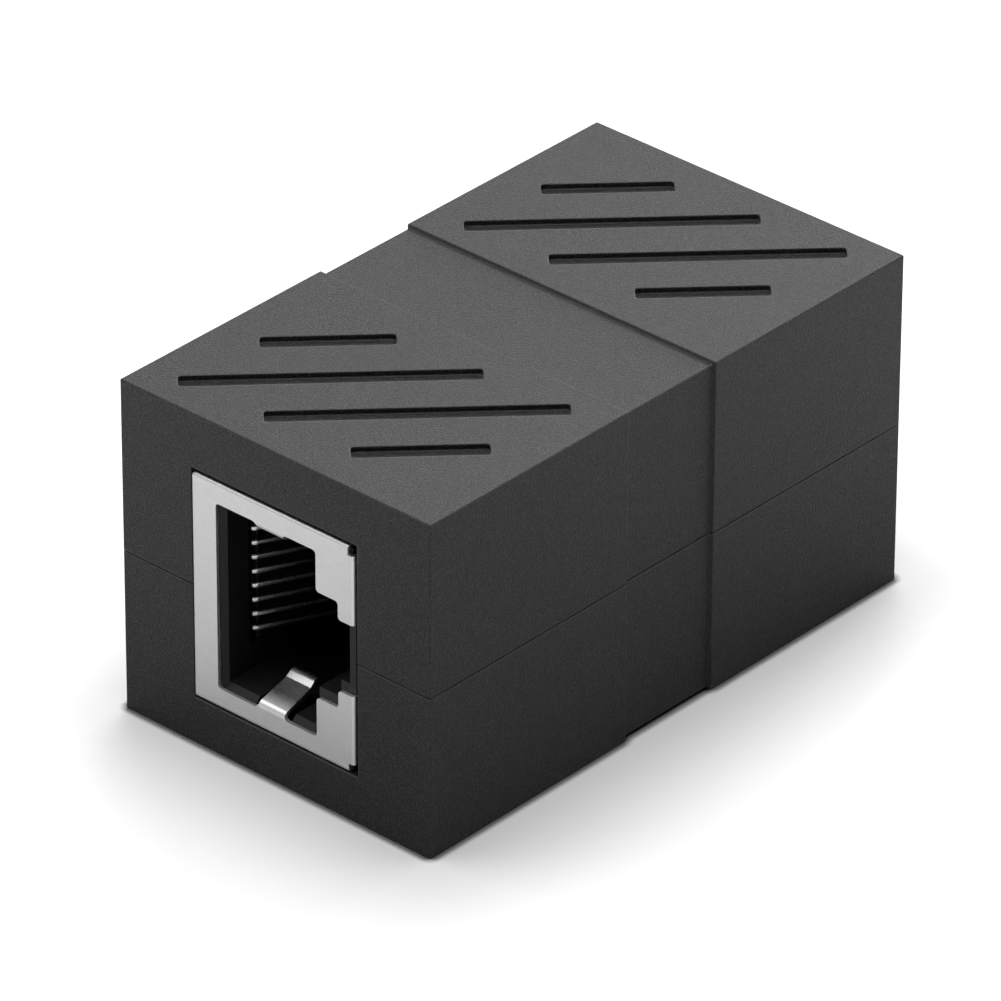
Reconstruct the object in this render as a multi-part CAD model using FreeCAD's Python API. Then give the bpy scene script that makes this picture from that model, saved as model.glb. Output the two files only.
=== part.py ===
import FreeCAD, Part
import math
import os

from FreeCAD import Vector

# An inline coupler for network cables: a two-part casing that holds two shielded
# eight-way jacks back to back on one upright circuit board.
# Origin at the middle of the underside, +Z up, the jacks open towards -Y and +Y.

# Casing
casing_width = 25.5
casing_length = 43.7
casing_height = 23.6
wall = 1.6
seam_height = 11.43
edge_break = 0.08
waist_width = 7.9
waist_recess = 0.2

# Seam between the two shells
reveal = 0.1
tongue_thickness = 0.7
tongue_height = 0.9
tongue_clearance = 0.08

# Diagonal grooves in the roof of each end block
groove_angle = 45.0
groove_width = 1.3
groove_depth = 0.4
groove_corner = 0.25
groove_spacing = 4.45
groove_long = 18.55
groove_short = 8.4
groove_stagger = 2.53

# Port cut-outs in the end walls
port_width = 13.7
port_height = 16.5
port_bottom = 3.27

# Inside ribs, and the square posts and pins that hold the shells together
rib_thickness = 1.2
front_rib_depth = 4.4
back_rib_depth = 11.8
rib_clearance = 0.12
post_width = 2.6
post_inset = 2.85
post_offset = 10.4
pin_width = 1.2
pin_length = 2.4
pin_clearance = 0.06

# Shield of each jack, folded from one sheet
sheet = 0.25
bend_radius = 0.27
shield_width = 13.25
shield_height = 16.12
jack_depth = 18.0
jack_recess = 0.05
seat_gap = 0.03
jack_side_gap = 0.08
relief_width = 0.45
relief_height = 0.65
relief_depth = 1.4
shield_leg_width = 1.3
shield_leg_depth = 9.0

# Opening in the shield's face, measured from the jack's middle
opening_contact_side = 4.71
opening_latch_side = 3.54
opening_half_width = 6.62
shoulder_latch_side = 5.34
shoulder_half_width = 3.78
latch_half_width = 2.52
latch_notch_depth = 2.4
opening_corner_radius = 0.25

# Sprung earthing tabs at the two sides of the opening
tab_width = 2.2
tab_end_width = 1.95
tab_flare = 0.35
tab_offset = -0.28
tab_root_rise = 0.38
tab_foot_depth = 2.45
tab_foot_rise = 1.15
tab_reach = 2.97
tab_rise = 1.58
tab_tail = 0.4
tab_tail_drop = 0.05
tab_root_radius = 0.5
tab_foot_radius = 0.2
tab_crest_radius = 0.54
tab_side_gap = 0.4
tab_pocket_depth = 5.2
tab_pocket_height = 0.98

# Moulded housing inside each shield
housing_clearance = 0.05
lead_in = 0.35
latch_lead_in = 0.09
cavity_depth = 11.6
latch_wall = 5.96
latch_ledge_depth = 4.2
latch_pocket_depth = 9.6
latch_pocket_wall = 5.6
cavity_corner_radius = 0.2
insert_channel_depth = 2.45
peg_radius = 1.5
peg_offset = 5.2
peg_depth = 7.0
peg_clearance = 0.1
peg_stub = 0.4
core_wall = 0.8
core_floor = 0.9
notch_gap = 0.06

# Contacts, eight sprung strips in each jack
contact_count = 8
contact_pitch = 1.02
contact_width = 0.34
contact_thickness = 0.24
bend_depth = 3.41
contact_bend_radius = 0.45
contact_slope = 27.0
contact_tip_depth = 12.75
tail_bend = 0.5
tail_row_front = 13.6
tail_row_back = 15.9
tail_stub = 0.9

# Insert that carries the contacts
insert_half_width = 4.55
insert_clearance = 0.07
insert_lip = 0.44
insert_back = 17.3
comb_depth = 12.0
comb_height = 1.5
comb_slot_depth = 1.1
insert_nose_radius = 0.18
insert_nose_gap = 0.04
insert_foot_gap = 0.18
contact_gap = 0.05

# Circuit board
board_thickness = 1.6
board_end_gap = 3.05
board_edge_gap = 0.5
board_gap = 0.03
board_hole_sides = 6
tail_hole_clearance = 0.08
leg_slot_clearance = 0.1

# Places worked out from the sizes above
half_width = casing_width / 2
half_length = casing_length / 2
jack_x = jack_side_gap - port_width / 2 + shield_width / 2
jack_z = port_bottom + seat_gap + shield_height / 2
contact_side = -shield_width / 2
latch_side = shield_width / 2
side = shield_height / 2
cavity_floor = lead_in - opening_contact_side
wire_run = cavity_floor - contact_bend_radius - contact_bend_radius * math.cos(math.radians(contact_slope))
board_face = contact_side - board_gap
board_back = board_face - board_thickness
housing_front = sheet + housing_clearance
housing_back = jack_depth - sheet - housing_clearance
housing_side = side - sheet - housing_clearance
housing_latch_side = latch_side - sheet - housing_clearance
port_corner = seat_gap + jack_side_gap / 2
inner_half_width = half_width - wall
inner_half_length = half_length - wall
roof = casing_height - wall
board_half_length = inner_half_length - board_end_gap
board_half_height = min(jack_z - wall, roof - jack_z) - board_edge_gap
beyond = 5.0
bite = 0.15


def box(x0, x1, y0, y1, z0, z1):
    """A block between two corners."""
    return Part.makeBox(x1 - x0, y1 - y0, z1 - z0, Vector(x0, y0, z0))


def edges_where(shape, test):
    """The edges whose two end points both pass a test."""
    return [e for e in shape.Edges if all(test(v.Point) for v in e.Vertexes)]


def near(a, b):
    return abs(a - b) < 1e-6


def path(points, radii, closed=False):
    """A wire of straight runs through the points, with an arc at each corner that has a radius.

    One radius on its own serves all corners.
    """
    count = len(points)
    edges = []
    corners = range(count) if closed else range(1, count - 1)
    if not isinstance(radii, list):
        radii = [radii] * len(corners)
    joints = []
    for i, radius in zip(corners, radii):
        here = points[i]
        back = (points[i - 1] - here).normalize()
        ahead = (points[(i + 1) % count] - here).normalize()
        half = back.getAngle(ahead) / 2
        middle = (back + ahead).normalize()
        start = here + back * (radius / math.tan(half))
        end = here + ahead * (radius / math.tan(half))
        top = here + middle * (radius / math.sin(half) - radius)
        joints.append((start, top, end))
    if closed:
        last = joints[-1][2]
    else:
        last = points[0]
    for start, top, end in joints:
        edges.append(Part.LineSegment(last, start).toShape())
        if not near(start.distanceToPoint(end), 0):
            edges.append(Part.Arc(start, top, end).toShape())
        last = end
    if not closed:
        edges.append(Part.LineSegment(last, points[-1]).toShape())
    return Part.Wire(edges)


def prism(place, radius, length, sides):
    """A bar with a few flat sides, lying along X from a place."""
    turns = [2 * math.pi * (index + 0.5) / sides for index in range(sides)]
    corners = [place + Vector(0, math.cos(turn), math.sin(turn)) * radius for turn in turns]
    return Part.Face(Part.makePolygon(corners + corners[:1])).extrude(Vector(length, 0, 0))


def casing_outside():
    """Two end blocks with finely broken edges, joined by a slightly smaller waist."""
    front = box(-half_width, half_width, -half_length, -waist_width / 2, 0, casing_height)
    front = front.makeChamfer(edge_break, front.Edges)
    rear = front.copy()
    rear.rotate(Vector(), Vector(0, 0, 1), 180)
    waist = box(
        waist_recess - half_width,
        half_width - waist_recess,
        -inner_half_length,
        inner_half_length,
        waist_recess,
        casing_height - waist_recess,
    )
    waist = waist.makeChamfer(edge_break, waist.Edges)
    return front.fuse([waist, rear]).removeSplitter()


def groove(length, along, across, block_y):
    """One groove with rounded corners: its place is counted along and across the diagonal."""
    angle = math.radians(groove_angle)
    run = Vector(math.cos(angle), math.sin(angle), 0)
    step = Vector(-math.sin(angle), math.cos(angle), 0)
    middle = Vector(0, block_y, casing_height - groove_depth) + run * along + step * across
    end = run * (length / 2)
    edge = step * (groove_width / 2)
    corners = [middle - end - edge, middle + end - edge, middle + end + edge, middle - end + edge]
    outline = path(corners, groove_corner, closed=True)
    return Part.Face(outline).extrude(Vector(0, 0, groove_depth + beyond))


def groove_pattern():
    """Four grooves on each end block, two short ones outside and two long ones between."""
    block_middle = (half_length + waist_width / 2) / 2
    rows = [
        (groove_short, -groove_stagger, 1.5),
        (groove_long, -groove_stagger, 0.5),
        (groove_long, groove_stagger, -0.5),
        (groove_short, groove_stagger, -1.5),
    ]
    grooves = []
    for block_y in (-block_middle, block_middle):
        for length, along, row in rows:
            grooves.append(groove(length, along, row * groove_spacing, block_y))
    return grooves


def port():
    """The cut-outs for the jacks in the two end walls, their corners cut off slightly."""
    cut = box(
        -port_width / 2,
        port_width / 2,
        -half_length - beyond,
        half_length + beyond,
        port_bottom,
        port_bottom + port_height,
    )
    cut = cut.makeChamfer(port_corner, [e for e in cut.Edges if e.Length > casing_length])
    middle = box(-half_width, half_width, -inner_half_length, inner_half_length, 0, casing_height)
    return cut.cut(middle)


def seam_ring(grow, bottom, top):
    """The band along the inner part of the side walls that the tongue fills."""
    outer_x = inner_half_width + tongue_thickness + grow
    outer_y = inner_half_length + tongue_thickness + grow
    ring = box(-outer_x, outer_x, -outer_y, outer_y, bottom, top)
    middle = box(-inner_half_width, inner_half_width, -inner_half_length, inner_half_length, bottom, top)
    return ring.cut(middle)


def jack_space(gap):
    """Room for both jacks and the board, wider than they are by a gap."""
    jacks = box(
        jack_x + contact_side - gap,
        jack_x + latch_side + gap,
        -half_length,
        -half_length + jack_recess + jack_depth + seat_gap,
        jack_z - side - seat_gap,
        jack_z + side + gap,
    )
    rear = jacks.copy()
    rear.rotate(Vector(0, 0, jack_z), Vector(1, 0, 0), 180)
    rear.translate(Vector(0, 0, gap - seat_gap))
    board = box(
        jack_x + board_back - gap,
        jack_x + board_face + gap,
        -board_half_length - gap,
        board_half_length + gap,
        jack_z - board_half_height - gap,
        jack_z + board_half_height + gap,
    )
    return jacks.fuse([rear, board])


def ribs(bottom, top):
    """Cross walls that cradle the jacks, and two that stop them from being pushed inwards."""
    made = []
    stop_y = half_length - jack_recess - jack_depth - seat_gap - rib_thickness
    for start in (half_length - front_rib_depth, half_length - back_rib_depth, stop_y):
        for y in (start, -start - rib_thickness):
            made.append(box(-inner_half_width, inner_half_width, y, y + rib_thickness, bottom, top))
    return made


def posts(width, bottom, top):
    """Four square bars, one near each corner of the waist."""
    made = []
    for x in (post_inset - half_width, half_width - post_inset):
        for y in (-post_offset, post_offset):
            made.append(box(x - width / 2, x + width / 2, y - width / 2, y + width / 2, bottom, top))
    return made


def hollow():
    return box(-inner_half_width, inner_half_width, -inner_half_length, inner_half_length, wall, roof)


def shell_inside(bottom, top):
    """Ribs and posts of one shell, clear of the jacks and the board."""
    parts = ribs(bottom, top) + posts(post_width, bottom, top)
    solid = parts[0].fuse(parts[1:]).cut(jack_space(rib_clearance))
    return solid.common(box(-inner_half_width, inner_half_width, -half_length, half_length, bottom, top))


def lower_shell():
    """The lower half of the casing, with the tongue round its rim and the posts' sockets."""
    rim = seam_height - reveal / 2
    tongue_top = seam_height + tongue_height
    shell = casing_outside().cut(hollow())
    shell = shell.common(box(-half_width, half_width, -half_length, half_length, 0, rim))
    inside = shell_inside(wall - bite, rim)
    shell = shell.fuse([inside, seam_ring(0, rim - bite, tongue_top)]).cut(port())
    sockets = posts(pin_width + 2 * pin_clearance, seam_height - pin_length - pin_clearance, tongue_top)
    return shell.cut(sockets).removeSplitter()


def upper_shell():
    """The upper half of the casing, with the rebate for the tongue, the pins and the grooves."""
    rim = seam_height + reveal / 2
    rebate_top = seam_height + tongue_height
    shell = casing_outside().cut(hollow())
    shell = shell.common(box(-half_width, half_width, -half_length, half_length, rim, casing_height))
    inside = shell_inside(rim, roof + bite)
    shell = shell.fuse(inside).cut([port(), seam_ring(tongue_clearance, rim - bite, rebate_top)])
    pins = posts(pin_width, seam_height - pin_length, rim + bite)
    return shell.fuse(pins).cut(groove_pattern()).removeSplitter()


def stepped_outline(depth, contact, latch, half, shoulder, shoulder_half, notch, notch_half, radii):
    """The plug opening: a wide part for the plug, then two steps for its latch."""
    corners = [
        (contact, -half),
        (latch, -half),
        (latch, -shoulder_half),
        (shoulder, -shoulder_half),
        (shoulder, -notch_half),
        (notch, -notch_half),
        (notch, notch_half),
        (shoulder, notch_half),
        (shoulder, shoulder_half),
        (latch, shoulder_half),
        (latch, half),
        (contact, half),
    ]
    return path([Vector(x, depth, z) for x, z in corners], radii, closed=True)


def shield_tab():
    """A spring tab folded in from the edge of the opening, with a raised bump near its end."""
    edge = opening_half_width
    crest = edge - tab_rise
    line = path(
        [
            Vector(0, 0, edge + sheet),
            Vector(0, 0, edge - tab_root_rise),
            Vector(0, tab_foot_depth, edge - tab_foot_rise),
            Vector(0, tab_reach, crest),
            Vector(0, tab_reach + tab_tail, crest + tab_tail_drop),
        ],
        [tab_root_radius, tab_foot_radius, tab_crest_radius],
    )
    strip = line.makeOffset2D(-sheet, 0, True, True)
    wide = tab_width / 2 + tab_flare
    strip.translate(Vector(-wide, 0, 0))
    corners = [
        (-wide - bite, side),
        (-wide - bite, edge),
        (-tab_width / 2, edge),
        (-tab_end_width / 2, crest),
        (-tab_end_width / 2, 0),
        (tab_end_width / 2, 0),
        (tab_end_width / 2, crest),
        (tab_width / 2, edge),
        (wide + bite, edge),
        (wide + bite, side),
    ]
    radii = [0, 0, tab_flare, 0, 0, 0, 0, tab_flare, 0, 0]
    outline = Part.Face(path([Vector(x, 0, z) for x, z in corners], radii, closed=True))
    tab = strip.extrude(Vector(2 * wide, 0, 0)).common(outline.extrude(Vector(0, beyond + tab_reach, 0)))
    tab.translate(Vector(tab_offset, 0, 0))
    return tab


def both_sides(shape):
    """A shape and its mirror image across the middle of the jack."""
    return [shape, shape.mirror(Vector(), Vector(0, 0, 1))]


def sheet_box():
    """Face, latch wall, two side walls and back folded from one sheet, open towards the board."""
    outer = box(contact_side, latch_side, 0, jack_depth, -side, side)
    folds = edges_where(outer, lambda p: near(p.x, latch_side))
    for y in (0, jack_depth):
        for z in (-side, side):
            folds += edges_where(outer, lambda p, y=y, z=z: near(p.y, y) and near(p.z, z))
    outer = outer.makeFillet(bend_radius, folds)
    inner = box(
        contact_side - beyond, latch_side - sheet, sheet, jack_depth - sheet, sheet - side, side - sheet
    )
    return outer.cut(inner)


def jack_shield():
    """The folded shield with its stepped opening, corner reliefs, spring tabs and board legs."""
    opening = stepped_outline(
        -beyond,
        -opening_contact_side,
        opening_latch_side,
        opening_half_width,
        shoulder_latch_side,
        shoulder_half_width,
        latch_side + beyond,
        latch_half_width,
        opening_corner_radius,
    )
    latch_notch = box(
        latch_side - 2 * bend_radius,
        latch_side + beyond,
        -beyond,
        latch_notch_depth,
        -latch_half_width,
        latch_half_width,
    )
    relief = box(
        latch_side - relief_width,
        latch_side + beyond,
        -beyond,
        relief_depth,
        side - relief_height,
        side + beyond,
    )
    back_relief = relief.mirror(Vector(0, jack_depth / 2, 0), Vector(0, 1, 0))
    cuts = [Part.Face(opening).extrude(Vector(0, beyond + sheet, 0)), latch_notch]
    cuts += both_sides(relief) + both_sides(back_relief)
    leg = box(
        board_back - tail_stub,
        contact_side + sheet,
        shield_leg_depth - shield_leg_width / 2,
        shield_leg_depth + shield_leg_width / 2,
        side - sheet,
        side,
    )
    return sheet_box().cut(cuts).fuse(both_sides(shield_tab()) + both_sides(leg)).removeSplitter()


def cavity_outline(depth, grow, latch_grow):
    """The moulded plug opening at a depth, larger all round by what the lead-in adds."""
    return stepped_outline(
        depth,
        cavity_floor - grow,
        opening_latch_side - lead_in + grow,
        opening_half_width - lead_in + grow,
        shoulder_latch_side - lead_in + grow,
        shoulder_half_width - lead_in + grow,
        latch_wall + latch_grow,
        latch_half_width - lead_in + grow,
        [cavity_corner_radius] * 2 + [0] * 8 + [cavity_corner_radius] * 2,
    )


def plug_cavity():
    """The space for the plug and its latch, with a sloping lead-in at the mouth."""
    mouth = housing_front
    wide = cavity_outline(mouth, lead_in, latch_lead_in)
    lead = Part.makeLoft([wide, cavity_outline(mouth + lead_in, 0, 0)], True, True)
    throat = Part.Face(cavity_outline(mouth + lead_in - bite, 0, 0)).extrude(Vector(0, latch_ledge_depth, 0))
    latch_half = shoulder_half_width - lead_in
    plug = box(
        cavity_floor,
        opening_latch_side - lead_in,
        mouth,
        cavity_depth,
        lead_in - opening_half_width,
        opening_half_width - lead_in,
    )
    latch = box(cavity_floor, shoulder_latch_side - lead_in, mouth, cavity_depth, -latch_half, latch_half)
    catch = box(0, latch_pocket_wall, latch_ledge_depth, latch_pocket_depth, -latch_half, latch_half)
    return lead.fuse([throat, plug, latch, catch])


def insert_channel():
    """The channel under the plug space, open to the board and the back, that the insert slides into."""
    half = insert_half_width + insert_clearance
    start = contact_side - beyond
    low = box(start, cavity_floor + lead_in, insert_channel_depth, cavity_depth, -half, half)
    high = box(start, comb_height + insert_clearance, cavity_depth - bite, jack_depth, -half, half)
    return low.fuse(high)


def housing_cores():
    """Pockets in the back that keep the moulded walls even in thickness."""
    inner = insert_half_width + insert_clearance + core_wall
    outer = housing_side - core_wall
    start = cavity_depth + core_floor
    pocket = box(contact_side + core_wall, housing_latch_side - core_wall, start, jack_depth, inner, outer)
    lid_pocket = box(
        comb_height + insert_clearance + core_wall,
        housing_latch_side - core_wall,
        start,
        jack_depth,
        -insert_half_width,
        insert_half_width,
    )
    return both_sides(pocket) + [lid_pocket]


def jack_housing():
    """The moulded body: plug cavity, insert channel, tab pockets, cores and two board pegs."""
    body = box(contact_side, housing_latch_side, housing_front, housing_back, -housing_side, housing_side)
    tab_pocket = box(
        tab_offset - tab_width / 2 - tab_side_gap,
        tab_offset + tab_width / 2 + tab_side_gap,
        0,
        tab_pocket_depth,
        0,
        opening_half_width - lead_in + tab_pocket_height,
    )
    notch_pad = box(
        housing_latch_side - bite,
        latch_side - notch_gap,
        housing_front,
        latch_notch_depth - notch_gap,
        notch_gap - latch_half_width,
        latch_half_width - notch_gap,
    )
    cuts = [plug_cavity(), insert_channel()] + both_sides(tab_pocket) + housing_cores()
    foot = Vector(contact_side + bite, peg_depth, peg_offset)
    length = foot.x - board_back + peg_stub
    peg = Part.makeCylinder(peg_radius, length, foot, Vector(-1, 0, 0)).cut(insert_channel())
    return body.fuse(notch_pad).cut(cuts).fuse(both_sides(peg)).removeSplitter()


def contact_height(index):
    """Where a contact lies across the jack, counted from 0."""
    return (index - (contact_count - 1) / 2) * contact_pitch


def tail_depth(index):
    """The contacts' tails stand in two staggered rows."""
    return tail_row_front if index % 2 else tail_row_back


def contact_strip(index):
    """A sprung contact: tail through the board, run under the insert, tight bend and rising spring."""
    slope = math.radians(contact_slope)
    z = contact_height(index) - contact_width / 2
    row = tail_depth(index)
    tail = path(
        [
            Vector(board_back - tail_stub, row, z),
            Vector(wire_run - tail_bend, row, z),
            Vector(wire_run, row - tail_bend, z),
            Vector(wire_run, bend_depth, z),
        ],
        0,
    )
    centre = Vector(wire_run + contact_bend_radius, bend_depth, z)
    half_turn = (math.pi - slope) / 2
    reach = Vector(-math.cos(half_turn), -math.sin(half_turn), 0) * contact_bend_radius
    end = centre + Vector(math.cos(slope), -math.sin(slope), 0) * contact_bend_radius
    rise = Vector(math.sin(slope), math.cos(slope), 0)
    tip = end + rise * ((contact_tip_depth - end.y) / math.cos(slope))
    bend = Part.Arc(Vector(wire_run, bend_depth, z), centre + reach, end).toShape()
    spring = Part.LineSegment(end, tip).toShape()
    middle = Part.Wire(tail.Edges + [bend, spring])
    edge = middle.makeOffset2D(-contact_thickness / 2, 2, False, True)
    strip = edge.makeOffset2D(contact_thickness, 2, True, True)
    return strip.extrude(Vector(0, 0, contact_width))


def contact_insert():
    """The block that holds the contacts: a plate with grooves below, and a comb for their tips."""
    ceiling = wire_run + contact_thickness / 2 + contact_gap
    top = ceiling + insert_lip
    nose = bend_depth + insert_nose_gap
    bottom = contact_side + insert_foot_gap
    corners = [
        Vector(bottom, nose, -insert_half_width),
        Vector(bottom, insert_back, -insert_half_width),
        Vector(comb_height, insert_back, -insert_half_width),
        Vector(comb_height, comb_depth, -insert_half_width),
        Vector(top, comb_depth, -insert_half_width),
        Vector(top, nose, -insert_half_width),
    ]
    radii = [0, 0, 0, 0, 0, insert_nose_radius]
    outline = path(corners, radii, closed=True)
    block = Part.Face(outline).extrude(Vector(0, 0, 2 * insert_half_width))
    slot = contact_width / 2 + contact_gap
    cuts = []
    for index in range(contact_count):
        z = contact_height(index)
        cuts.append(box(bottom - beyond, ceiling, 0, insert_back + beyond, z - slot, z + slot))
        cuts.append(box(top, comb_height + beyond, 0, comb_depth + comb_slot_depth, z - slot, z + slot))
    return block.cut(cuts)


def in_front(shape):
    """A piece of a jack, moved to its place in the front end of the casing."""
    placed = shape.copy()
    placed.translate(Vector(jack_x, jack_recess - half_length, jack_z))
    return placed


def in_rear(shape):
    """The same piece in the rear end, turned half a turn so that it shares the board."""
    placed = in_front(shape)
    placed.rotate(Vector(0, 0, jack_z), Vector(1, 0, 0), 180)
    return placed


def circuit_board():
    """The board between the jacks and the side of the casing, with the holes of both jacks."""
    board = box(
        jack_x + board_back,
        jack_x + board_face,
        -board_half_length,
        board_half_length,
        jack_z - board_half_height,
        jack_z + board_half_height,
    )
    start = board_back - beyond
    length = board_thickness + 2 * beyond
    holes = []
    for index in range(contact_count):
        place = Vector(start, tail_depth(index), contact_height(index))
        radius = math.hypot(contact_width, contact_thickness) / 2 + tail_hole_clearance
        holes.append(prism(place, radius, length, board_hole_sides))
    peg_place = Vector(start, peg_depth, peg_offset)
    holes += both_sides(Part.makeCylinder(peg_radius + peg_clearance, length, peg_place, Vector(1, 0, 0)))
    leg_half = shield_leg_width / 2 + leg_slot_clearance
    slot = box(
        start,
        start + length,
        shield_leg_depth - leg_half,
        shield_leg_depth + leg_half,
        side - sheet - leg_slot_clearance,
        side + leg_slot_clearance,
    )
    holes += both_sides(slot)
    cuts = [place(hole) for hole in holes for place in (in_front, in_rear)]
    return board.cut(cuts)


def jack_parts():
    """Each sub-part of one jack, in the jack's own place, by name."""
    parts = {
        "jack_shield": jack_shield(),
        "jack_housing": jack_housing(),
        "contact_insert": contact_insert(),
    }
    for index in range(contact_count):
        parts[f"contact_{index + 1}"] = contact_strip(index)
    return parts


def build():
    """Every sub-part by the name of its file."""
    shapes = {"lower_shell": lower_shell(), "upper_shell": upper_shell(), "circuit_board": circuit_board()}
    for name, shape in jack_parts().items():
        shapes[f"front_{name}"] = in_front(shape)
        shapes[f"rear_{name}"] = in_rear(shape)
    return shapes


os.makedirs("parts", exist_ok=True)
for name, shape in build().items():
    print(name, shape.isValid(), len(shape.Solids), round(shape.Volume, 2))
    shape.exportStep(f"parts/{name}.step")
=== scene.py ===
import math

import bpy
from mathutils import Matrix, Vector


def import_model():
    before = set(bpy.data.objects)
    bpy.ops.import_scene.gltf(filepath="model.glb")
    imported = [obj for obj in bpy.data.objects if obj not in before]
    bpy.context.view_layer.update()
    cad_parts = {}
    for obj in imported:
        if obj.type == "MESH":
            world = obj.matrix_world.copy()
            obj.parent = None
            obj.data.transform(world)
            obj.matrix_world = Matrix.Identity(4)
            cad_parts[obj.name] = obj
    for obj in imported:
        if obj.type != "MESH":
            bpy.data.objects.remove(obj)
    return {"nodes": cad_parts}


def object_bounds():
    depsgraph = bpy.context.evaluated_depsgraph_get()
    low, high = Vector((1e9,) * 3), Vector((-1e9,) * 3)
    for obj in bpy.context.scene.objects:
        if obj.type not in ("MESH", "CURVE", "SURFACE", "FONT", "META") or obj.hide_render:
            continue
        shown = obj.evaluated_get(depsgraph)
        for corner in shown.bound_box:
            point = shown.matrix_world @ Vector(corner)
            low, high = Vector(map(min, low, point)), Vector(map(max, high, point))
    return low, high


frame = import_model()
cad_box = [list(corner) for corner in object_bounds()]
nodes = frame["nodes"]

# Lengths are in millimetres. Those of the scene are turned into metres where they are used.
MM = 0.001

# The photograph's viewpoint: seen from the front right and above, with a long lens.
view_azimuth = 41.896
view_elevation = 31.207
view_roll = 0.217
view_distance = 581.069
view_right = -0.937
view_up = -1.233
view_height = 11.8085
view_nearest = 10.0
view_farthest = 20000.0
lens = 337.0
sensor_width = 36.0

# Casing: moulded black plastic
casing_sheen = 0.36
casing_grain = 0.1
casing_grain_depth = 0.07
casing_grain_turn = (0.5, 0.3, 0.7)
casing_speckle = 0.078
casing_speckle_power = 3.0
casing_mottle = 1.4
casing_edge = 0.18
casing_dark = (0.001, 0.001, 0.0012)
casing_light = (0.064, 0.064, 0.074)
# Lighter colour along the edges: partly wear, partly a painted highlight
casing_worn_highlight = (0.075, 0.075, 0.078)
casing_broad_roughness = (0.34, 0.40)
casing_fine_roughness = (0.30, 0.46)
casing_worn_roughness = 0.18
full_edge_turn = 0.85
grain_spread = 0.12

# Shield: plated sheet
metal_streak = 0.05
metal_streak_length = 2.5
metal_cloud = 1.1
metal_pit = 0.09
metal_face_depth = 1.4
metal_dark = (0.77, 0.767, 0.765)
metal_light = (0.83, 0.827, 0.825)
metal_pitted = (0.92, 0.92, 0.92)
# Painted highlight: a lighter colour on the folds at the face
metal_fold_highlight = (0.98, 0.98, 0.98)
metal_inside_roughness = (0.22, 0.28)
metal_face_roughness = (0.44, 0.52)
metal_bump = 0.0006
# Where the painted fold highlight starts and is full, by how far the surface faces the front
fold_start = 0.98
fold_full = 0.75

# Contacts, mouldings and board
contact_fine = 0.06
contact_edge = 0.1
contact_dark = (0.80, 0.79, 0.77)
contact_light = (0.86, 0.85, 0.83)
contact_roughness = (0.2, 0.28)
moulding_sheen = 0.3
moulding_grain = 0.09
moulding_grain_depth = 0.0015
moulding_cloud = 1.8
housing_colours = (0.012, 0.012, 0.0125), (0.018, 0.018, 0.0185)
housing_roughness = (0.34, 0.42)
insert_colours = (0.010, 0.010, 0.0105), (0.015, 0.015, 0.0155)
insert_roughness = (0.38, 0.46)
laminate_weave = 2.2
laminate_unevenness = 1.5
laminate_depth = 0.004
laminate_cloud = 2.0
lacquer_dark = (0.012, 0.085, 0.035)
lacquer_light = (0.02, 0.12, 0.05)
lacquer_roughness = (0.25, 0.35)
joined_within = 0.001
sharp_from = 40.0

# Floor, with painted shade near the object
floor_half = 1500.0
# Grey of the floor in bounced light, and the painted shade that the camera sees near the object;
# white farther off
floor_close = (0.81, 0.81, 0.81)
floor_far = (0.98, 0.98, 0.98)
# A glow seen only by the camera, weaker near the object and stronger far off
floor_glow = 0.12
# Painted contact shadow: occlusion within this reach, raised to this power, darkens the floor for
# the camera
foot_shade_reach = 0.6
foot_shade_depth = 4.5
# Painted shade seen in reflections: the floor darkens towards the object over this reach, down to
# this factor
near_shade_reach = 38.0
near_shade = 0.55
# Reach over which the painted grey near the object turns white for the camera
white_reach = 10.0
distant_glow = 0.6
distant_reach = 200.0

# Surround: elevations in degrees
world_strength = 0.03
horizon_level = 1.0
horizon_full = 6.0
horizon_end = 26.0


def feed(tree, socket, value):
    """Links a socket to another one, or gives it a constant."""
    if isinstance(value, bpy.types.NodeSocket):
        tree.links.new(value, socket)
    elif socket.type == "RGBA":
        socket.default_value = (*value, 1)
    else:
        socket.default_value = value


def placed(tree, stretch=(1, 1, 1)):
    """Object coordinates in metres, stretched along the axes."""
    place = tree.nodes.new("ShaderNodeTexCoord")
    mapping = tree.nodes.new("ShaderNodeMapping")
    mapping.inputs["Scale"].default_value = stretch
    tree.links.new(place.outputs["Object"], mapping.inputs["Vector"])
    return mapping.outputs["Vector"]


def turned(tree, vector, angles):
    """A place turned by angles in radians."""
    mapping = tree.nodes.new("ShaderNodeMapping")
    mapping.inputs["Rotation"].default_value = angles
    tree.links.new(vector, mapping.inputs["Vector"])
    return mapping.outputs["Vector"]


def noise(tree, vector, size, detail=2.0, roughness=0.5):
    """Noise whose grains are about as large as the size in millimetres."""
    made = tree.nodes.new("ShaderNodeTexNoise")
    made.inputs["Scale"].default_value = 1 / (size * MM)
    made.inputs["Detail"].default_value = detail
    made.inputs["Roughness"].default_value = roughness
    tree.links.new(vector, made.inputs["Vector"])
    return made.outputs["Fac"]


def stepped(tree, value, start, end, low=0.0, high=1.0, smooth=False):
    """A value carried from one range to another and held inside it."""
    made = tree.nodes.new("ShaderNodeMapRange")
    if smooth:
        made.interpolation_type = "SMOOTHSTEP"
    made.inputs["From Min"].default_value = start
    made.inputs["From Max"].default_value = end
    made.inputs["To Min"].default_value = low
    made.inputs["To Max"].default_value = high
    tree.links.new(value, made.inputs["Value"])
    return made.outputs["Result"]


def ranged(tree, value, low, high, spread=0.25):
    """Noise that lies within a spread round 0.5, mapped to a range."""
    return stepped(tree, value, 0.5 - spread, 0.5 + spread, low, high)


def mixed(tree, factor, low, high):
    """A value between two others."""
    made = tree.nodes.new("ShaderNodeMix")
    feed(tree, made.inputs["Factor"], factor)
    feed(tree, made.inputs["A"], low)
    feed(tree, made.inputs["B"], high)
    return made.outputs["Result"]


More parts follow.
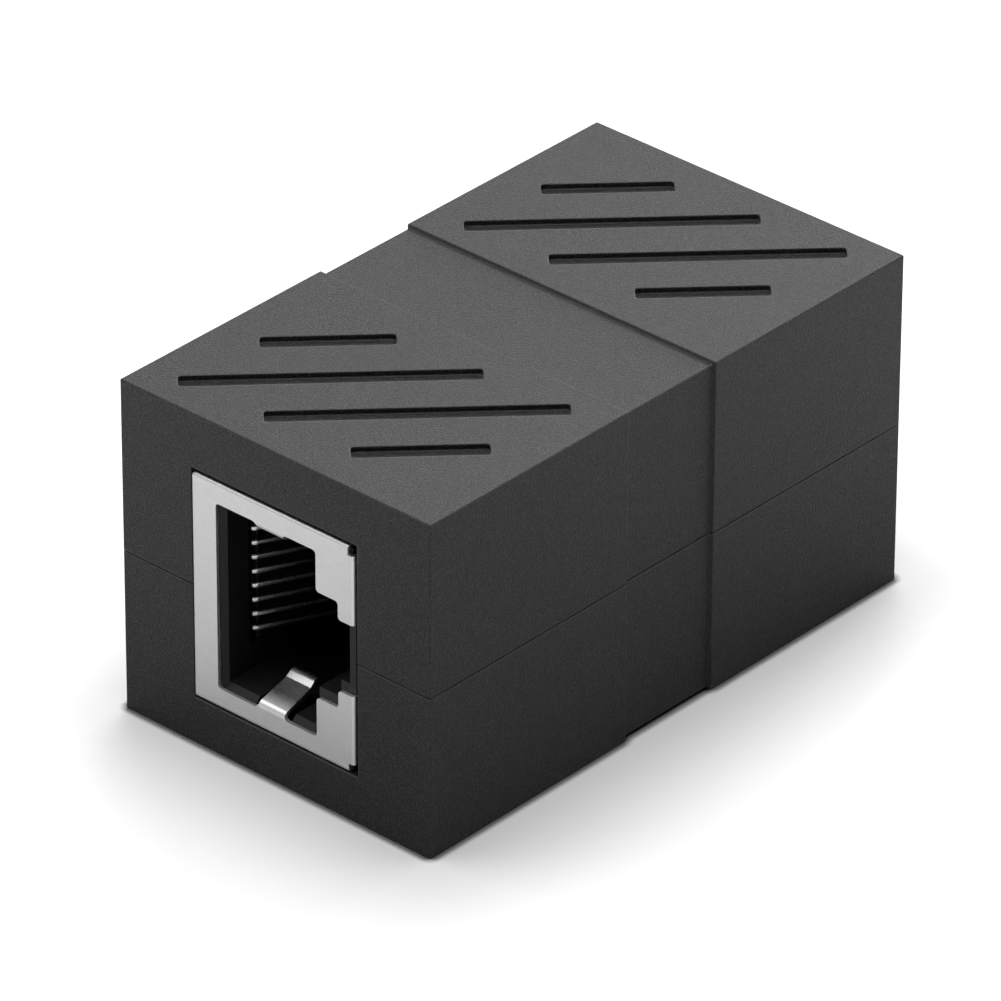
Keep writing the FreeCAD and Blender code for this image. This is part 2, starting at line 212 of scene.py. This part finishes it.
def blended(tree, factor, low, high, way="MIX"):
    """A colour between two others, or made of the two in another way."""
    made = tree.nodes.new("ShaderNodeMix")
    made.data_type = "RGBA"
    made.blend_type = way
    feed(tree, made.inputs["Factor"], factor)
    feed(tree, made.inputs["A"], low)
    feed(tree, made.inputs["B"], high)
    return made.outputs["Result"]


def tinted(tree, colour, factor):
    """A colour multiplied by another colour or by a value."""
    return blended(tree, 1.0, colour, factor, "MULTIPLY")


def bump(tree, height, depth, normal=None):
    """A bump of a depth in millimetres."""
    made = tree.nodes.new("ShaderNodeBump")
    made.inputs["Strength"].default_value = 1.0
    made.inputs["Distance"].default_value = depth * MM
    tree.links.new(height, made.inputs["Height"])
    if normal:
        tree.links.new(normal, made.inputs["Normal"])
    return made.outputs["Normal"]


def arithmetic(tree, operation, value, other):
    """A value worked on by a constant or by another value."""
    made = tree.nodes.new("ShaderNodeMath")
    made.operation = operation
    feed(tree, made.inputs[0], value)
    feed(tree, made.inputs[1], other)
    return made.outputs["Value"]


def vector_step(tree, operation, vector, other=(0, 0, 0)):
    """A node that works on a vector with a constant or with another vector."""
    made = tree.nodes.new("ShaderNodeVectorMath")
    made.operation = operation
    feed(tree, made.inputs[0], vector)
    feed(tree, made.inputs[1], other)
    return made


def along_length(tree, vector):
    """How far a vector reaches along the object's length, whichever way it points."""
    parts = tree.nodes.new("ShaderNodeSeparateXYZ")
    folded = vector_step(tree, "ABSOLUTE", vector)
    tree.links.new(folded.outputs["Vector"], parts.inputs["Vector"])
    return parts.outputs["Y"]


def outside_distance(tree):
    """How far a place on the floor is from the object's outline, in metres."""
    folded = vector_step(tree, "ABSOLUTE", placed(tree))
    half_sizes = (cad_box[1][0], cad_box[1][1], 0)
    past = vector_step(tree, "SUBTRACT", folded.outputs["Vector"], half_sizes)
    clear = vector_step(tree, "MAXIMUM", past.outputs["Vector"])
    return vector_step(tree, "LENGTH", clear.outputs["Vector"]).outputs["Value"]


def surface_direction(tree):
    """The direction that the surface faces."""
    return tree.nodes.new("ShaderNodeNewGeometry").outputs["Normal"]


def rounded(tree, radius):
    """The surface's direction with its edges rounded by a radius, and a mask of those edges."""
    soft = tree.nodes.new("ShaderNodeBevel")
    soft.samples = 8
    soft.inputs["Radius"].default_value = radius * MM
    direction = soft.outputs["Normal"]
    agreement = vector_step(tree, "DOT_PRODUCT", direction, surface_direction(tree))
    return direction, stepped(tree, agreement.outputs["Value"], 1.0, full_edge_turn)


def principled(name, metallic=0.0, specular=0.5):
    """A material with one shader, its tree and the shader."""
    material = bpy.data.materials.new(name)
    tree, output = node_tree(material)
    shader = tree.nodes.new("ShaderNodeBsdfPrincipled")
    shader.inputs["Metallic"].default_value = metallic
    shader.inputs["IOR"].default_value = 1.5
    shader.inputs["Specular IOR Level"].default_value = specular
    tree.links.new(shader.outputs["BSDF"], output.inputs["Surface"])
    return material, tree, shader


def node_tree(material):
    """An emptied node tree with its output node."""
    material.use_nodes = True
    tree = material.node_tree
    tree.nodes.clear()
    return tree, tree.nodes.new("ShaderNodeOutputMaterial")


def finish(tree, shader, colour, roughness, normal):
    """Links what varies over the surface to the shader."""
    tree.links.new(colour, shader.inputs["Base Color"])
    tree.links.new(roughness, shader.inputs["Roughness"])
    tree.links.new(normal, shader.inputs["Normal"])


def casing_plastic():
    """Matte black moulded plastic with a fine eroded grain, a little polished along its edges,
    which are also coloured lighter, partly as wear and partly as a painted highlight.

    The grain is turned off the axes, so that it looks the same on every side.
    """
    material, tree, shader = principled("casing_plastic", specular=casing_sheen)
    vector = turned(tree, placed(tree), casing_grain_turn)
    grain = noise(tree, vector, casing_grain, detail=3.0, roughness=0.6)
    mottle = noise(tree, vector, casing_mottle)
    direction, edge = rounded(tree, casing_edge)
    speckle = noise(tree, vector, casing_speckle, roughness=0.6)
    speckle = ranged(tree, speckle, 0, 1, grain_spread)
    speckle = arithmetic(tree, "POWER", speckle, casing_speckle_power)
    colour = blended(tree, speckle, casing_dark, casing_light)
    # Painted highlight along the edges, partly wear: the edge mask gives them a lighter colour
    colour = blended(tree, edge, colour, casing_worn_highlight)
    broad = ranged(tree, mottle, *casing_broad_roughness)
    fine = ranged(tree, grain, *casing_fine_roughness, grain_spread)
    roughness = mixed(tree, edge, mixed(tree, 0.5, broad, fine), casing_worn_roughness)
    finish(tree, shader, colour, roughness, bump(tree, grain, casing_grain_depth, direction))
    return material


def shield_metal():
    """Satin plated sheet with the faint streaks of rolling.

    It is smoother inside the opening, and a painted highlight colours it lighter where it is folded
    at the face.
    """
    material, tree, shader = principled("shield_metal", metallic=1.0)
    vector = placed(tree)
    drawn_out = placed(tree, (1, 1, metal_streak / metal_streak_length))
    streaks = noise(tree, drawn_out, metal_streak)
    cloud = noise(tree, vector, metal_cloud)
    pits = ranged(tree, noise(tree, vector, metal_pit, roughness=0.6), 0, 1, grain_spread)
    colour = blended(tree, cloud, metal_dark, metal_light)
    colour = tinted(tree, colour, blended(tree, pits, metal_pitted, (1, 1, 1)))
    half_length = cad_box[1][1]
    face_back = half_length - metal_face_depth * MM
    face = stepped(tree, along_length(tree, vector), face_back, half_length)
    facing = along_length(tree, surface_direction(tree))
    # Painted highlight: near the face, wherever the sheet turns away from the front, as on its
    # folds, it is coloured lighter
    fold = arithmetic(tree, "MULTIPLY", stepped(tree, facing, fold_start, fold_full), face)
    colour = blended(tree, fold, colour, metal_fold_highlight)
    inside = ranged(tree, streaks, *metal_inside_roughness)
    outside = ranged(tree, streaks, *metal_face_roughness)
    roughness = mixed(tree, face, inside, outside)
    finish(tree, shader, colour, roughness, bump(tree, streaks, metal_bump))
    return material


def contact_metal():
    """Bright plated spring wire."""
    material, tree, shader = principled("contact_metal", metallic=1.0)
    fine = noise(tree, placed(tree), contact_fine)
    colour = blended(tree, fine, contact_dark, contact_light)
    roughness = ranged(tree, fine, *contact_roughness)
    finish(tree, shader, colour, roughness, bump(tree, fine, metal_bump))
    return material


def moulded_black(name, colours, roughnesses):
    """Smooth black moulding, a little uneven in colour and sheen."""
    material, tree, shader = principled(name, specular=moulding_sheen)
    vector = placed(tree)
    fine = noise(tree, vector, moulding_grain)
    cloud = noise(tree, vector, moulding_cloud)
    colour = blended(tree, cloud, *colours)
    roughness = ranged(tree, cloud, *roughnesses)
    finish(tree, shader, colour, roughness, bump(tree, fine, moulding_grain_depth))
    return material


def board():
    """Glass laminate under green lacquer, its weave faintly showing."""
    material, tree, shader = principled("board")
    vector = placed(tree)
    weave = tree.nodes.new("ShaderNodeTexWave")
    # A wave texture turns through 20 radians to a unit at scale 1.
    weave.inputs["Scale"].default_value = 2 * math.pi / (20 * laminate_weave * MM)
    weave.inputs["Distortion"].default_value = laminate_unevenness
    tree.links.new(vector, weave.inputs["Vector"])
    threads = weave.outputs["Fac"]
    cloud = noise(tree, vector, laminate_cloud)
    colour = blended(tree, threads, lacquer_dark, lacquer_light)
    roughness = ranged(tree, cloud, *lacquer_roughness)
    finish(tree, shader, colour, roughness, bump(tree, threads, laminate_depth))
    return material


def soften(piece, width):
    """Rounds the sharp edges of a piece by a width in millimetres."""
    joined = piece.modifiers.new("joined", "WELD")
    joined.merge_threshold = joined_within * MM
    edges = piece.modifiers.new("edges", "BEVEL")
    edges.width = width * MM
    edges.segments = 3
    edges.limit_method = "ANGLE"
    edges.angle_limit = math.radians(sharp_from)


def dress():
    """Gives each CAD node its material, found by the first of these words in its name."""
    finishes = {
        "insert": moulded_black("insert_plastic", insert_colours, insert_roughness),
        "shield": shield_metal(),
        "housing": moulded_black("housing_plastic", housing_colours, housing_roughness),
        "shell": casing_plastic(),
        "board": board(),
        "contact": contact_metal(),
    }
    for name, piece in nodes.items():
        kind = next(word for word in finishes if word in name)
        piece.data.materials.clear()
        piece.data.materials.append(finishes[kind])
        if kind == "contact":
            soften(piece, contact_edge)


def camera():
    """The photograph's camera."""
    azimuth = math.radians(view_azimuth)
    elevation = math.radians(view_elevation)
    roll = math.radians(view_roll)
    back = Vector(
        (
            math.sin(azimuth) * math.cos(elevation),
            -math.cos(azimuth) * math.cos(elevation),
            math.sin(elevation),
        )
    )
    right = Vector((0, 0, 1)).cross(back).normalized()
    up = back.cross(right)
    turned_right = math.cos(roll) * right + math.sin(roll) * up
    turned_up = -math.sin(roll) * right + math.cos(roll) * up
    aim = right * view_right + up * view_up + Vector((0, 0, view_height))
    data = bpy.data.cameras.new("camera")
    data.lens = lens
    data.sensor_width = sensor_width
    data.sensor_fit = "HORIZONTAL"
    data.clip_start = view_nearest * MM
    data.clip_end = view_farthest * MM
    made = bpy.data.objects.new("camera", data)
    turn = Matrix((turned_right, turned_up, back)).transposed()
    place = Matrix.Translation((aim + back * view_distance) * MM)
    made.matrix_world = place @ turn.to_4x4()
    bpy.context.scene.collection.objects.link(made)
    bpy.context.scene.camera = made


def pale_surface(name):
    """A pale surface that takes shadows, and is painted darker right beside what stands on it and
    white far off.

    Reflections see a painted shade that darkens it more gently and over a longer way.
    """
    material = bpy.data.materials.new(name)
    tree, output = node_tree(material)
    seen = tree.nodes.new("ShaderNodeLightPath").outputs["Is Camera Ray"]
    away = outside_distance(tree)
    # Painted contact shadow beside the object, seen by the camera
    beside = tree.nodes.new("ShaderNodeAmbientOcclusion")
    beside.samples = 4
    beside.inputs["Distance"].default_value = foot_shade_reach * MM
    foot = arithmetic(tree, "POWER", beside.outputs["AO"], foot_shade_depth)
    # Painted shade for reflections, darker towards the object
    around = stepped(tree, away, 0, near_shade_reach * MM, near_shade, 1, smooth=True)
    # Painted grey near the object for the camera, turning white farther off
    paler = stepped(tree, away, 0, white_reach * MM, smooth=True)
    colour = blended(tree, arithmetic(tree, "MULTIPLY", seen, paler), floor_close, floor_far)
    tint = tinted(tree, colour, mixed(tree, seen, around, foot))
    # The camera alone sees the floor glow, weaker near the object and stronger far off
    glow_start = near_shade_reach * MM
    glow_end = distant_reach * MM
    glow = stepped(tree, away, glow_start, glow_end, floor_glow, distant_glow)
    diffuse = tree.nodes.new("ShaderNodeBsdfDiffuse")
    tree.links.new(tint, diffuse.inputs["Color"])
    emission = tree.nodes.new("ShaderNodeEmission")
    tree.links.new(tint, emission.inputs["Color"])
    tree.links.new(arithmetic(tree, "MULTIPLY", glow, seen), emission.inputs["Strength"])
    both = tree.nodes.new("ShaderNodeAddShader")
    tree.links.new(diffuse.outputs["BSDF"], both.inputs[0])
    tree.links.new(emission.outputs["Emission"], both.inputs[1])
    tree.links.new(both.outputs["Shader"], output.inputs["Surface"])
    return material


def floor():
    """A wide pale floor under the object."""
    half = floor_half * MM
    mesh = bpy.data.meshes.new("floor")
    corners = [(-half, -half, 0), (half, -half, 0), (half, half, 0), (-half, half, 0)]
    mesh.from_pydata(corners, [], [(0, 1, 2, 3)])
    made = bpy.data.objects.new("floor", mesh)
    made.data.materials.append(pale_surface("floor"))
    bpy.context.scene.collection.objects.link(made)


def world():
    """A plain surround, white where it is seen and pale near the horizon in reflections."""
    made = bpy.data.worlds.new("world")
    bpy.context.scene.world = made
    made.use_nodes = True
    tree = made.node_tree
    tree.nodes.clear()
    output = tree.nodes.new("ShaderNodeOutputWorld")
    rays = tree.nodes.new("ShaderNodeLightPath")
    direction = tree.nodes.new("ShaderNodeTexCoord")
    parts = tree.nodes.new("ShaderNodeSeparateXYZ")
    tree.links.new(direction.outputs["Generated"], parts.inputs["Vector"])
    full = math.sin(math.radians(horizon_full))
    end = math.sin(math.radians(horizon_end))
    low = stepped(tree, parts.outputs["Z"], full, end, 1, 0, smooth=True)
    reflected = arithmetic(tree, "MULTIPLY", low, rays.outputs["Is Glossy Ray"])
    horizon = arithmetic(tree, "MULTIPLY", reflected, horizon_level)
    strength = arithmetic(tree, "ADD", horizon, world_strength)
    shade = tree.nodes.new("ShaderNodeBackground")
    tree.links.new(strength, shade.inputs["Strength"])
    white = tree.nodes.new("ShaderNodeBackground")
    mix = tree.nodes.new("ShaderNodeMixShader")
    tree.links.new(rays.outputs["Is Camera Ray"], mix.inputs["Fac"])
    tree.links.new(shade.outputs["Background"], mix.inputs[1])
    tree.links.new(white.outputs["Background"], mix.inputs[2])
    tree.links.new(mix.outputs["Shader"], output.inputs["Surface"])


def softbox(name, place, target, size, radiance):
    """A square lamp that faces a point, as bright to look at as the radiance says."""
    data = bpy.data.lights.new(name, "AREA")
    data.shape = "RECTANGLE"
    data.size = size * MM
    data.size_y = size * MM
    data.energy = radiance * math.pi * data.size * data.size_y
    made = bpy.data.objects.new(name, data)
    direction = Vector(target) - Vector(place)
    made.rotation_mode = "QUATERNION"
    made.rotation_quaternion = direction.to_track_quat("-Z", "Y")
    made.location = Vector(place) * MM
    bpy.context.scene.collection.objects.link(made)


def lamps():
    """One wide lamp above, one over the left front for the metal, and three behind for the roof."""
    softbox("top_box", place=(0, 0, 420), target=(0, 0, 0), size=420, radiance=3.4)
    softbox("over_left_box", place=(-220, -150, 320), target=(0, 0, 10), size=270, radiance=1.25)
    softbox("back_left_box", place=(-230, 260, 220), target=(0, 0, 20), size=200, radiance=2.19)
    softbox("back_box", place=(-130, 300, 225), target=(0, 0, 20), size=200, radiance=2.56)
    softbox("near_back_box", place=(0, 170, 120), target=(5, 5, 20), size=90, radiance=2.99)


dress()
camera()
floor()
world()
lamps()
bpy.context.scene.view_settings.view_transform = "Standard"
